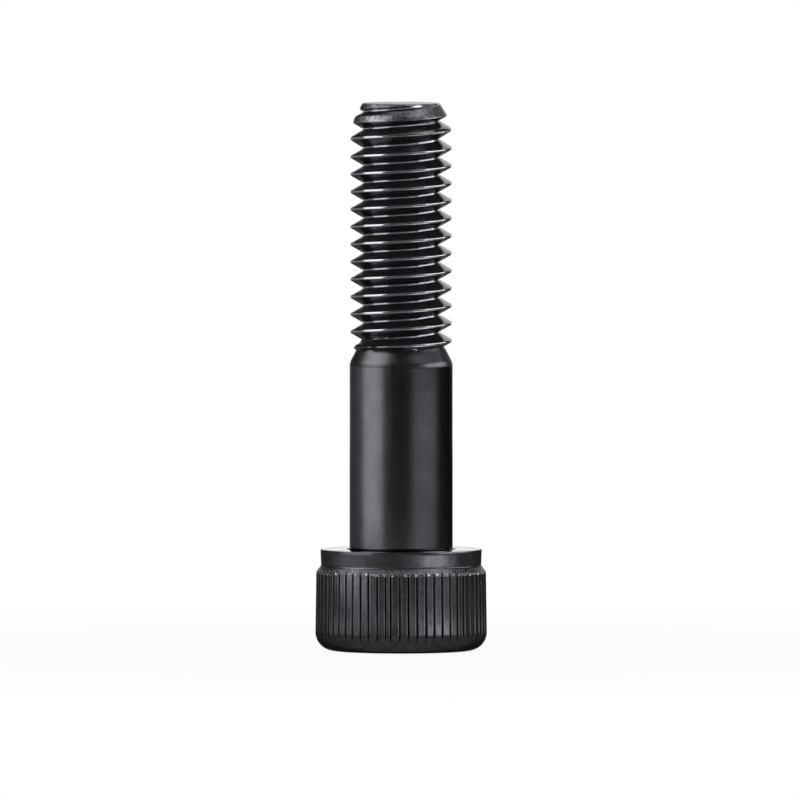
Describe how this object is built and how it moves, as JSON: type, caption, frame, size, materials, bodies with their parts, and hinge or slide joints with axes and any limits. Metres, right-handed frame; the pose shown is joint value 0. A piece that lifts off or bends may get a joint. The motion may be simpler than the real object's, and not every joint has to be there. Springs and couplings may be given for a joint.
{
  "type": "socket head bolt",
  "caption": "Black steel socket head cap screw with a knurled cylindrical head, a hexagon socket, a plain shank and a coarse right-hand thread, for clamping parts together.",
  "frame": {"origin": "centre of the head's end face, where the hexagon socket opens; the screw stands on that face", "axes": "+Z along the screw's axis from the head to the thread's tip; X and Y across the head, with two corners of the hexagon on X"},
  "size_m": [0.0098, 0.0098, 0.0313],
  "materials": {
    "black_oxide_steel": "satin black oxide on forged and rolled steel, oiled"
  },
  "bodies": {
    "root": {"bolt": "black_oxide_steel"}
  },
  "joints": []
}
